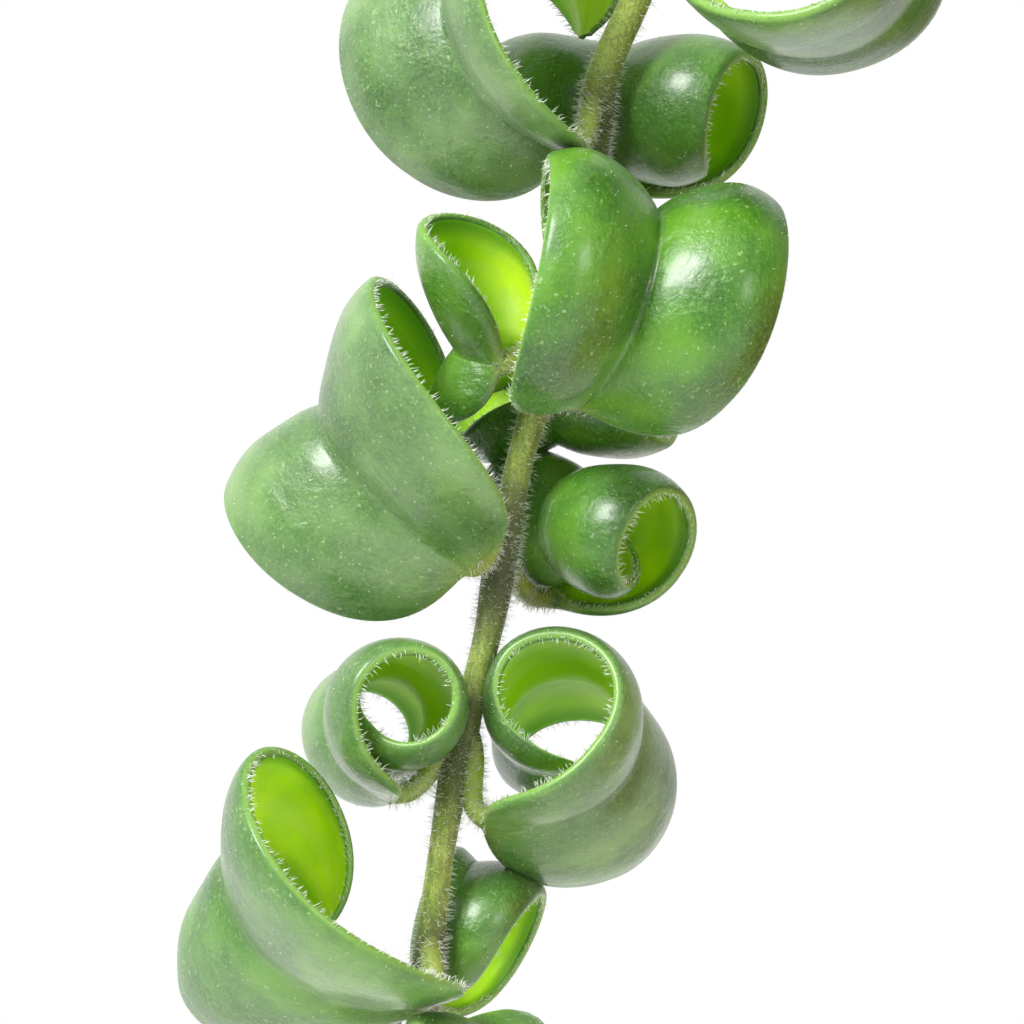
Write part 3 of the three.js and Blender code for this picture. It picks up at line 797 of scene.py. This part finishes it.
def margin_hairs(hairs, top, bottom, spacing, size):
    """Hairs along both margins and round the tip, leaning towards the leaf's inside."""
    first = PETIOLE_RINGS
    for edge, inner in ((0, 3), (-1, -4)):
        line = (top[first:, edge] + bottom[first:, edge]) / 2
        outward = unit(line - (top[first:, inner] + bottom[first:, inner]) / 2)
        inside = unit(bottom[first:, inner] - top[first:, inner])
        distance = distances_along(line)
        count = int(distance[-1] / spacing)
        at = np.sort(rng.uniform(0, distance[-1], count))
        root, out, within = (places_at(at, distance, each) for each in (line, outward, inside))
        run = unit(np.cross(out, within))
        lean = rng.uniform(0, MARGIN_HAIR_LEAN, (count, 1))
        slant = rng.normal(0, MARGIN_HAIR_SLANT, (count, 1))
        way = out + within * lean + run * slant
        shift = within * rng.uniform(*MARGIN_HAIR_SPREAD, (count, 1)) * LEAF_THICKNESS
        sizes = rng.uniform(*MARGIN_HAIR_SIZES, count) * size
        hairs.grow(root - out * MARGIN_HAIR_SINK + shift, way, sizes, MARGIN_HAIR_RADIUS)


def surface_hairs(hairs, grid, inner, count, length):
    """Sparse short hairs over a grid of surface points; inner is the grid's other side."""
    rows, columns = (rng.uniform(0, size - 1 - 1e-6, count) for size in grid.shape[:2])
    row, column = rows.astype(int), columns.astype(int)
    place = row, column, column + 1, (rows - row)[:, None], (columns - column)[:, None]
    root = on_grid(grid, *place)
    way = unit(root - on_grid(inner, *place))
    lean = rng.normal(0, SPECK_HAIR_LEAN, (count, 3))
    hairs.grow(root, way + lean, rng.uniform(*HAIR_SIZES, count) * length, SPECK_HAIR_RADIUS)


# Which leaves grow where, in millimetres and degrees as set in the solid model

LEAF_DEFAULTS = {
    "cone": 0, "fold": 5, "lobe": 4, "helix": 0, "up_share": 1, "down_share": 1, "tighten": 1,
    "pillow": 0, "petiole_size": 1,
}
LENGTHS = ("length", "width", "roll_start", "roll_end", "lobe", "pillow")


def leaf_from(spec):
    """A leaf's values with the defaults filled in and its lengths in metres."""
    leaf = {**LEAF_DEFAULTS, **spec}
    for name in LENGTHS:
        leaf[name] = leaf[name] * MM
    return leaf


# Each leaf's last number sets its pale wax bloom together with painted light: painted sheen on its
# outside and painted shade on its inside.
HANGING_LEAVES = {
    "n_right": dict(
        z=124, base=(-81.5, -4, 114.5), axis=(285, -8), start=-62, length=48, width=31,
        roll_start=13, roll_end=7, up_share=0.45, wax=0.2),
    "a_front": dict(
        z=103.5, base=(-92.4, -4, 100.8), axis=(60, 13), start=12, helix=-5, length=40, width=26,
        roll_start=14, roll_end=6, fold=24, pillow=0.8, wax=0.48),
    "a_back": dict(
        z=99.5, base=(-87.8, 9.4, 98), axis=(209, 3), start=5, length=44, width=24, roll_start=6.4,
        roll_end=4.6, lobe=2, pillow=0.5, wax=0.12),
    "b_front": dict(
        z=83.5, base=(-91.5, -10.5, 79.4), axis=(-16, -8), start=12, helix=10, length=42,
        width=23.5, roll_start=11, roll_end=5.1, fold=18, down_fold=24, lobe=7, up_share=0.95,
        down_share=0.95, pillow=1.6, wax=0),
    "b_left": dict(
        z=83.5, base=(-98.2, -4.2, 82.6), axis=(85, 70), start=8, length=14.5, width=18.5,
        roll_start=3.7, roll_end=2.9, fold=20, lobe=0, up_share=1.25, down_share=0.75, pillow=0.8,
        wax=0.15),
    "b_back": dict(
        z=82, base=(-93.8, 4, 79.8), axis=(188, -2), start=-80, length=26, width=20.5,
        roll_start=4.8, roll_end=4, lobe=1, pillow=0.6, wax=0.05),
    "c_front": dict(
        z=67.5, base=(-100.9, -4, 65.6), axis=(30, 34), start=36, helix=-8, length=42, width=24,
        roll_start=22, roll_end=3.4, tighten=1.4, fold=22, down_fold=10, cone=-0.15, up_share=1.1,
        down_share=1.02, pillow=0.4, wax=0.44),
    "c_back": dict(
        z=64.5, base=(-93.8, 7, 62.6), axis=(225, 8), start=5, helix=-6, length=38, width=21,
        roll_start=6.3, roll_end=4, up_share=0.85, pillow=0.5, wax=0.1),
    "d_left": dict(
        z=48.6, base=(-107, 0, 46.1), axis=(77, 11), start=10, length=39, width=20, roll_start=8.2,
        roll_end=3.6, tighten=0.6, lobe=3, pillow=0.5, wax=0.34),
    "d_right": dict(
        z=49.8, base=(-99.1, -1, 44), axis=(275, -28), start=-18, length=46, width=25,
        roll_start=12, roll_end=4.4, lobe=3, cone=-0.1, up_share=1.15, down_share=0.75, pillow=0.5,
        wax=0.34),
    "e_front": dict(
        z=31.9, base=(-104.6, -4.8, 28.8), axis=(44, 30), start=-6, helix=-5.5, length=44, width=26,
        roll_start=22, roll_end=4.6, tighten=1.2, fold=20, down_fold=-8, cone=-0.2, down_share=1.1,
        pillow=0.4, wax=0.16),
    "e_back": dict(
        z=28, base=(-104.6, 8, 27.5), axis=(191, 20), start=5, length=40, width=16, roll_start=7.3,
        roll_end=5, up_share=0.35, down_share=0.8, lobe=1, pillow=0.5, wax=0.15),
}

# Other leaves get about this much wax bloom, painted sheen outside and painted shade inside, changing
# from leaf to leaf.
USUAL_WAX_AND_PAINTED_LIGHT = 0.35
WAX_AND_PAINTED_LIGHT_CHANGE = 0.2

# Distance along the stem, turn and size of each leaf pair
HANGING_PAIRS = [(66, 0, 0.95), (87, 90, 1), (108, 0, 1), (240, -40, 0.6)]
SIDE_PAIRS = [(75, 0, 0.92), (98, 90, 1), (120, 180, 0.9), (140, 270, 0.75)]
PAIRED_LEAF = dict(length=36, width=21.5, roll_start=7.6, roll_end=4.2, fold=8, lift=34)
LEAF_CHANGE = dict(length=2, width=1, roll_start=0.5, helix=5, lift=6)
YOUNG_LEAF = dict(half_points=8, blade_rings=18)
TIP_LEAF = dict(length=12, width=7, roll_start=9, roll_end=5, lift=55, petiole_size=0.5)


def wobble(index, salt):
    """A number between -1 and 1 that changes from leaf to leaf."""
    return math.sin(2.4 * index + 1.7 * salt)


def paired_frame(stem, distance, turn, lift):
    point, tangent = stem.point(distance), stem.tangent(distance)
    outward = turned(across(tangent, stem.sideways), tangent, math.radians(turn))
    along = outward * math.cos(lift) + tangent * math.sin(lift)
    axis = np.cross(outward, tangent)
    return point, tangent, outward, (axis, along, np.cross(axis, along))


def paired_leaf(stem, distance, turn, size, index):
    lift = math.radians(PAIRED_LEAF["lift"] + LEAF_CHANGE["lift"] * wobble(index, stem.salt))
    point, _, outward, leaf_frame = paired_frame(stem, distance, turn, lift)
    base = point + outward * (stem.radius(distance) + SEAT_GAP + PETIOLE_LENGTH * size)
    change = {name: LEAF_CHANGE[name] * wobble(index, stem.salt + shift)
              for name, shift in (("length", 2), ("width", 1), ("roll_start", 3), ("helix", 4))}
    shape = {name: (PAIRED_LEAF[name] + change.get(name, 0)) * size
             for name in ("length", "width", "roll_start", "roll_end")}
    leaf = leaf_from({**shape, "helix": change["helix"], "fold": PAIRED_LEAF["fold"]})
    return finish_leaf(leaf, stem, distance, base, leaf_frame, index + stem.salt)


def set_leaf(stem, spec, salt):
    distance = stem.distance_at_height(spec["z"] * MM)
    leaf_frame = frame_from_angles(*spec["axis"], spec["start"])
    shape = {k: v for k, v in spec.items() if k not in ("z", "base", "axis", "start")}
    return finish_leaf(leaf_from(shape), stem, distance, mm(*spec["base"]), leaf_frame, salt)


def finish_leaf(leaf, stem, distance, base, leaf_frame, salt):
    root, leave = root_on_stem(stem, distance, base)
    leaf.update(base=base, frame=leaf_frame, root=root, leave=leave, salt=salt, distance=distance)
    return leaf


def tip_leaf(stem, turn, salt):
    lift = math.radians(TIP_LEAF["lift"])
    point, tangent, _, leaf_frame = paired_frame(stem, stem.length, turn, lift)
    leaf = leaf_from({k: v for k, v in TIP_LEAF.items() if k != "lift"})
    root = stem.point(stem.length - TIP_LEAF_SETBACK)
    base = point + leaf_frame[1] * TIP_LEAF_SETBACK
    leaf.update(base=base, frame=leaf_frame, root=root, leave=tangent, salt=salt)
    return leaf


# Camera, light and floor

def make_camera():
    data = bpy.data.cameras.new("photo_view")
    data.sensor_width = SENSOR_WIDTH
    data.lens = SENSOR_WIDTH * -CAMERA_AT[1] / VIEW_WIDTH
    data.clip_start = NEAR_CLIP
    camera = bpy.data.objects.new("photo_view", data)
    camera.location = CAMERA_AT
    camera.rotation_euler = (math.radians(90), 0, 0)
    scene.collection.objects.link(camera)
    scene.camera = camera


def make_light(name, place, size, power):
    data = bpy.data.lights.new(name, "AREA")
    data.size = size
    data.energy = power
    light = bpy.data.objects.new(name, data)
    light.location = place
    way = Vector(LIGHT_TARGET) - Vector(place)
    light.rotation_euler = way.to_track_quat("-Z", "Y").to_euler()
    light.visible_camera = False
    scene.collection.objects.link(light)


def make_world():
    """White when seen; as light, strongest from the upper left and weak from the lower right."""
    world = bpy.data.worlds.new("white_studio")
    scene.world = world
    world.use_nodes = True
    nodes = Nodes(world.node_tree)
    background = nodes.tree.nodes["Background"]
    background.inputs["Color"].default_value = (1, 1, 1, 1)
    direction = nodes.add("ShaderNodeTexCoord").outputs["Generated"]
    facing = nodes.add("ShaderNodeVectorMath", {0: direction, 1: BRIGHT_SIDE}, operation="DOT_PRODUCT")
    glow = nodes.span(facing.outputs["Value"], *WORLD_TURN, *WORLD_STRENGTHS)
    seen = nodes.add("ShaderNodeLightPath").outputs["Is Camera Ray"]
    nodes.feed(background.inputs["Strength"], nodes.maths("MAXIMUM", glow, seen))


def make_floor():
    """A white floor that fades into the white surroundings at its rim."""
    look = Look("white_floor", roughness=0.85)
    look.colour = look.steps(look.noise(20 * MM), (0.3, (0.86,) * 3), (0.7, (0.9,) * 3))
    distance = look.add("ShaderNodeVectorMath", {0: look.place}, operation="LENGTH").outputs["Value"]
    white = look.add("ShaderNodeEmission", {"Color": (1, 1, 1), "Strength": 1})
    start, full = FLOOR_FADE
    blend = look.add("ShaderNodeMixShader", {
        0: look.span(distance, FLOOR_RADIUS * start, FLOOR_RADIUS * full),
        1: look.shader.outputs["BSDF"], 2: white.outputs["Emission"]})
    output = next(node for node in look.tree.nodes if node.type == "OUTPUT_MATERIAL")
    look.feed(output.inputs["Surface"], blend.outputs["Shader"])
    angle = circle(FLOOR_CORNERS)
    rim = np.stack([np.cos(angle), np.sin(angle), 0 * angle], -1) * FLOOR_RADIUS
    floor = make_object("floor", rim, [tuple(range(FLOOR_CORNERS))], [look.finished()], smooth=False)
    floor.location.z = -FLOOR_DROP


make_camera()
make_world()
for light_name, settings in LIGHTS.items():
    make_light(light_name, *settings)
make_floor()
scene.view_settings.view_transform = "Standard"


# Pot: one turned profile with a flat underside, a tapered wall and a rim band with a step

def wall_radius(z):
    return lerp(POT_FOOT_RADIUS, POT_RIM_RADIUS - RIM_BAND_STEP, z / POT_HEIGHT)


def inner_radius(z):
    return wall_radius(z) - POT_WALL


def rounded(corners):
    """A profile of (radius, height) corners, each rounded by its own third number."""
    path = []
    for i, (x, z, round_by) in enumerate(corners):
        here = np.array([x, z])
        if round_by == 0:
            path.append(here)
            continue
        before = np.array(corners[i - 1][:2])
        after = np.array(corners[i + 1][:2])
        start = here + unit(before - here) * round_by
        end = here + unit(after - here) * round_by
        for share in np.linspace(0, 1, CORNER_STEPS):
            path.append(lerp(lerp(start, here, share), lerp(here, end, share), share))
    return np.array(path)


def lathe(name, profile, segments, material):
    """A closed turned skin from a profile that starts and ends on the axis."""
    angle = circle(segments)
    middle = profile[1:-1]
    rings = np.stack([
        middle[:, :1] * np.cos(angle), middle[:, :1] * np.sin(angle),
        np.repeat(middle[:, 1:], segments, axis=1)], -1)
    points = rings.reshape(-1, 3)
    quads, _ = skin_faces(len(middle), segments)
    ends = len(points)
    points = np.vstack([points, [[0, 0, profile[0][1]], [0, 0, profile[-1][1]]]])
    last = (len(middle) - 1) * segments
    for k in range(segments):
        after = (k + 1) % segments
        quads += [(ends, after, k), (ends + 1, last + k, last + after)]
    return make_object(name, points, facing_out(points, quads), [material])


def make_pot():
    band = POT_HEIGHT - RIM_BAND_HEIGHT
    foot = POT_FOOT_RADIUS
    corners = [
        (0, 0, 0),
        (foot - FOOT_INSET, 0, 0),
        (foot, 0, POT_EDGE),
        (wall_radius(band / 2), band / 2, 0),
        (wall_radius(band), band, BAND_ROUNDING),
        (POT_RIM_RADIUS, band + RIM_BAND_SLOPE, POT_EDGE),
        (POT_RIM_RADIUS, POT_HEIGHT, RIM_ROUNDING),
        (inner_radius(POT_HEIGHT), POT_HEIGHT, RIM_ROUNDING),
        (inner_radius(POT_HEIGHT / 2), POT_HEIGHT / 2, 0),
        (inner_radius(POT_FLOOR), POT_FLOOR, INNER_CORNER),
        (inner_radius(POT_FLOOR) - FLOOR_INSET, POT_FLOOR, 0),
        (0, POT_FLOOR, 0),
    ]
    pot = lathe("pot_skin", rounded(corners), POT_SEGMENTS, terracotta_finish)
    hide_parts("pot")
    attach(pot, "root")


# Soil: a low uneven mound with crumbs, bark chips and perlite grains lying on it

def soil_height(x, y):
    share = np.hypot(x, y) / inner_radius(SOIL_EDGE_HEIGHT)
    height = SOIL_EDGE_HEIGHT + SOIL_MOUND * (1 - share ** 2)
    bumps = 0
    for i, size in enumerate(SOIL_BUMP_SIZES):
        turn = SOIL_BUMP_TURN * i + SOIL_FIRST_TURN
        across_x = (x * math.cos(turn) + y * math.sin(turn)) / (size * MM)
        across_y = (y * math.cos(turn) - x * math.sin(turn)) / (size * MM)
        bumps = bumps + np.sin(across_x + i) * np.sin(across_y + 2 * i) * size ** 0.5
    return height + bumps * SOIL_ROUGHNESS / len(SOIL_BUMP_SIZES)


def icosphere():
    """The points and triangles of a ball of 80 triangles."""
    g = (1 + 5 ** 0.5) / 2
    points = [unit(np.roll((a, b, 0.0), turn)) for turn in range(3) for b in (g, -g) for a in (-1, 1)]
    faces = [(0, 11, 5), (0, 5, 1), (0, 1, 7), (0, 7, 10), (0, 10, 11), (1, 5, 9), (5, 11, 4),
             (11, 10, 2), (10, 7, 6), (7, 1, 8), (3, 9, 4), (3, 4, 2), (3, 2, 6), (3, 6, 8),
             (3, 8, 9), (4, 9, 5), (2, 4, 11), (6, 2, 10), (8, 6, 7), (9, 8, 1)]
    middles, finer = {}, []

    def middle(a, b):
        key = (min(a, b), max(a, b))
        if key not in middles:
            middles[key] = len(points)
            points.append(unit(points[a] + points[b]))
        return middles[key]

    for a, b, c in faces:
        ab, bc, ca = middle(a, b), middle(b, c), middle(c, a)
        finer += [(a, ab, ca), (b, bc, ab), (c, ca, bc), (ab, bc, ca)]
    return np.array(points), np.array(finer)


def scatter(count, sizes, shape, reach):
    """Lumpy grains on the soil: their points and triangles."""
    ball, triangles = icosphere()
    points, faces = [], []
    for i in range(count):
        distance = reach * math.sqrt(rng.uniform(0, 1))
        angle = rng.uniform(0, 2 * math.pi)
        x, y = distance * math.cos(angle), distance * math.sin(angle)
        size = rng.uniform(*sizes) * rng.uniform(GRAIN_SMALLEST, 1)
        lump = ball * (1 + GRAIN_LUMPS * rng.normal(size=(len(ball), 1)))
        lump = lump * np.array(shape) * rng.uniform(*GRAIN_STRETCH, 3) * size
        turn, tilt = rng.uniform(0, 2 * math.pi), rng.normal(0, GRAIN_TILT)
        spin = np.array([[math.cos(turn), -math.sin(turn), 0],
                         [math.sin(turn), math.cos(turn), 0], [0, 0, 1]])
        lean = np.array([[1, 0, 0], [0, math.cos(tilt), -math.sin(tilt)],
                         [0, math.sin(tilt), math.cos(tilt)]])
        centre = np.array([x, y, soil_height(x, y) + size * GRAIN_LIFT])
        points.append(lump @ (spin @ lean).T + centre)
        faces.append(triangles + i * len(ball))
    return np.vstack(points), np.vstack(faces).tolist()


def make_soil():
    edge = inner_radius(SOIL_EDGE_HEIGHT) - SEAT_GAP
    base = POT_FLOOR + SEAT_GAP
    profile = [(0, base), (inner_radius(base) - INNER_CORNER - SEAT_GAP, base)]
    profile += [(inner_radius(z) - SEAT_GAP, z) for z in (base + INNER_CORNER, SOIL_EDGE_HEIGHT)]
    profile += [(edge * share, SOIL_EDGE_HEIGHT) for share in np.linspace(1, 0, SOIL_RINGS)[1:]]
    bed = lathe("soil_bed", np.array(profile), SOIL_SEGMENTS, peat)
    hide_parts("soil")
    pieces = [bed]
    reach = edge - SCATTER_INSET
    for name, material, count, sizes, shape in (
            ("soil_crumbs", peat, CRUMBS, (0.6 * MM, 1.7 * MM), (1, 1, 0.8)),
            ("bark_chips", bark, BARK_CHIPS, (1.6 * MM, 3 * MM), (1.5, 0.8, 0.4)),
            ("perlite_grains", perlite, PERLITE_GRAINS, (0.8 * MM, 1.5 * MM), (1, 1, 0.9))):
        points, faces = scatter(count, sizes, shape, reach)
        pieces.append(make_object(name, points, faces, [material]))
    co = np.array([v.co for v in bed.data.vertices])
    top = co[:, 2] > SOIL_EDGE_HEIGHT - 0.1 * MM
    co[top, 2] = soil_height(co[top, 0], co[top, 1])
    bed.data.vertices.foreach_set("co", co.ravel())
    bed.data.update()
    for piece in pieces:
        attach(piece, "root")


# The plant

# How finely a leaf is made, how long and far apart its margin hairs are, and its hairs elsewhere
FINE_LEAF = dict(half_points=24, blade_rings=76, hair_size=0.78 * MM, spacing=0.21 * MM, dots=170)
PLAIN_LEAF = dict(half_points=11, blade_rings=36, hair_size=0.75 * MM, spacing=0.6 * MM, dots=30)


def place_leaf(label, leaf, hairs, half_points, blade_rings, hair_size, spacing, dots):
    surface = leaf_surface(leaf, half_points, blade_rings)
    points, faces, materials, along, share = leaf_mesh(*surface)
    thing = make_object("leaf_skin_" + label, points, faces, [leaf_outside, leaf_inside], materials)
    # How much wax bloom, painted sheen and painted inside shade this leaf carries.
    wax = leaf.get("wax", USUAL_WAX_AND_PAINTED_LIGHT + WAX_AND_PAINTED_LIGHT_CHANGE * wobble(leaf["salt"], 1))
    add_attributes(thing, along=along, across=share, wax=np.full(len(points), wax))
    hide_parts("leaf_" + label)
    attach(thing, "root")
    top, bottom, _, _ = surface
    margin_hairs(hairs, top, bottom, spacing, hair_size)
    surface_hairs(hairs, top[PETIOLE_RINGS:], bottom[PETIOLE_RINGS:], dots, SPECK_HAIR_LENGTH)
    stalk = slice(2, PETIOLE_RINGS + 2)
    for grid, inner in ((top, bottom), (bottom, top)):
        surface_hairs(hairs, grid[stalk], inner[stalk], dots, STALK_HAIR_LENGTH)


def stem_hairs(stem, hairs, rings, distance, per_mm):
    """Hairs all over a stem, thicker and longer at its nodes."""
    weight = STEM_HAIR_WEIGHT + NODE_HAIR_WEIGHT * stem.swollen(distance)[:-1]
    count = int(stem.length / MM * per_mm)
    row = rng.choice(len(distance) - 1, count, p=weight / weight.sum())
    column = rng.uniform(0, STEM_RING_POINTS, count)
    left = column.astype(int)
    part = (column - left)[:, None]
    right = (left + 1) % STEM_RING_POINTS
    down = rng.uniform(0, 1, (count, 1))
    root = on_grid(rings, row, left, right, down, part)
    centre = rings[row].mean(1) * (1 - down) + rings[row + 1].mean(1) * down
    way = unit(root - centre) + rng.normal(0, STEM_HAIR_LEAN, (count, 3))
    sizes = rng.uniform(*STEM_HAIR_SIZES, count) * STEM_HAIR_LENGTH
    hairs.grow(root, way, sizes, STEM_HAIR_RADIUS)


def make_stem(stem, leaves, hairs, per_mm):
    stem.nodes = sorted({float(leaf["distance"]) for leaf in leaves})
    rings, distance = stem_rings(stem)
    points = rings.reshape(-1, 3)
    quads, caps = skin_faces(len(rings), STEM_RING_POINTS)
    faces = facing_out(points, quads + caps)
    materials = [0] * len(faces)
    shade = np.repeat(stem.swollen(distance), STEM_RING_POINTS)
    along = np.ones(len(points))
    for turn in (0, 180):
        young = tip_leaf(stem, turn, stem.salt + turn / 90)
        more, quads, looks, places, _ = leaf_mesh(*leaf_surface(young, **YOUNG_LEAF))
        faces += [tuple(index + len(points) for index in quad) for quad in quads]
        materials += [1 + look for look in looks]
        points = np.vstack([points, more])
        shade = np.concatenate([shade, np.zeros(len(more))])
        along = np.concatenate([along, places])
    skins = [stem_skin, leaf_outside, leaf_inside]
    thing = make_object(stem.name + "_skin", points, faces, skins, materials)
    add_attributes(thing, node_shade=shade, along=along, wax=np.full(len(points), USUAL_WAX_AND_PAINTED_LIGHT))
    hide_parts(stem.name)
    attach(thing, "root")
    stem_hairs(stem, hairs, rings, distance, per_mm)


def grow_pairs(stem, label, pairs, twist, hairs):
    leaves = []
    for number, (distance, turn, size) in enumerate(pairs):
        for side, word in enumerate(("one", "two")):
            leaf = paired_leaf(stem, distance * MM, turn + twist + 180 * side, size, number * 2 + side)
            place_leaf(f"{label}_pair{number + 1}_{word}", leaf, hairs, **PLAIN_LEAF)
            leaves.append(leaf)
    return leaves


def grow_hanging_stem():
    stem = Stem("stem_hanging", HANGING_PATH, np.array([0.0, 1.0, 0.0]), 0)
    hairs = Hairs("hairs_hanging_leaves", "leaf")
    leaves = []
    for salt, (label, spec) in enumerate(HANGING_LEAVES.items()):
        leaf = set_leaf(stem, spec, salt)
        place_leaf("hanging_" + label, leaf, hairs, **FINE_LEAF)
        leaves.append(leaf)
    leaves += grow_pairs(stem, "hanging", HANGING_PAIRS, 0, hairs)
    hairs.build()
    stem_fuzz = Hairs("hairs_hanging_stem", "stem")
    make_stem(stem, leaves, stem_fuzz, HANGING_HAIRS_PER_MM)
    stem_fuzz.build()


def grow_side_stem(name, azimuth, salt, twist, path):
    points = np.array([rotated(*point, azimuth) for point in path])
    stem = Stem("stem_" + name, points, rotated(0, 0, 1, azimuth) / MM, salt)
    hairs = Hairs("hairs_" + name, "stem")
    leaves = grow_pairs(stem, name, SIDE_PAIRS, twist, hairs)
    make_stem(stem, leaves, hairs, SIDE_HAIRS_PER_MM)
    hairs.build()


make_pot()
make_soil()
grow_hanging_stem()
for stem_name, (azimuth, salt, twist, path) in SIDE_STEMS.items():
    grow_side_stem(stem_name, azimuth, salt, twist, path)
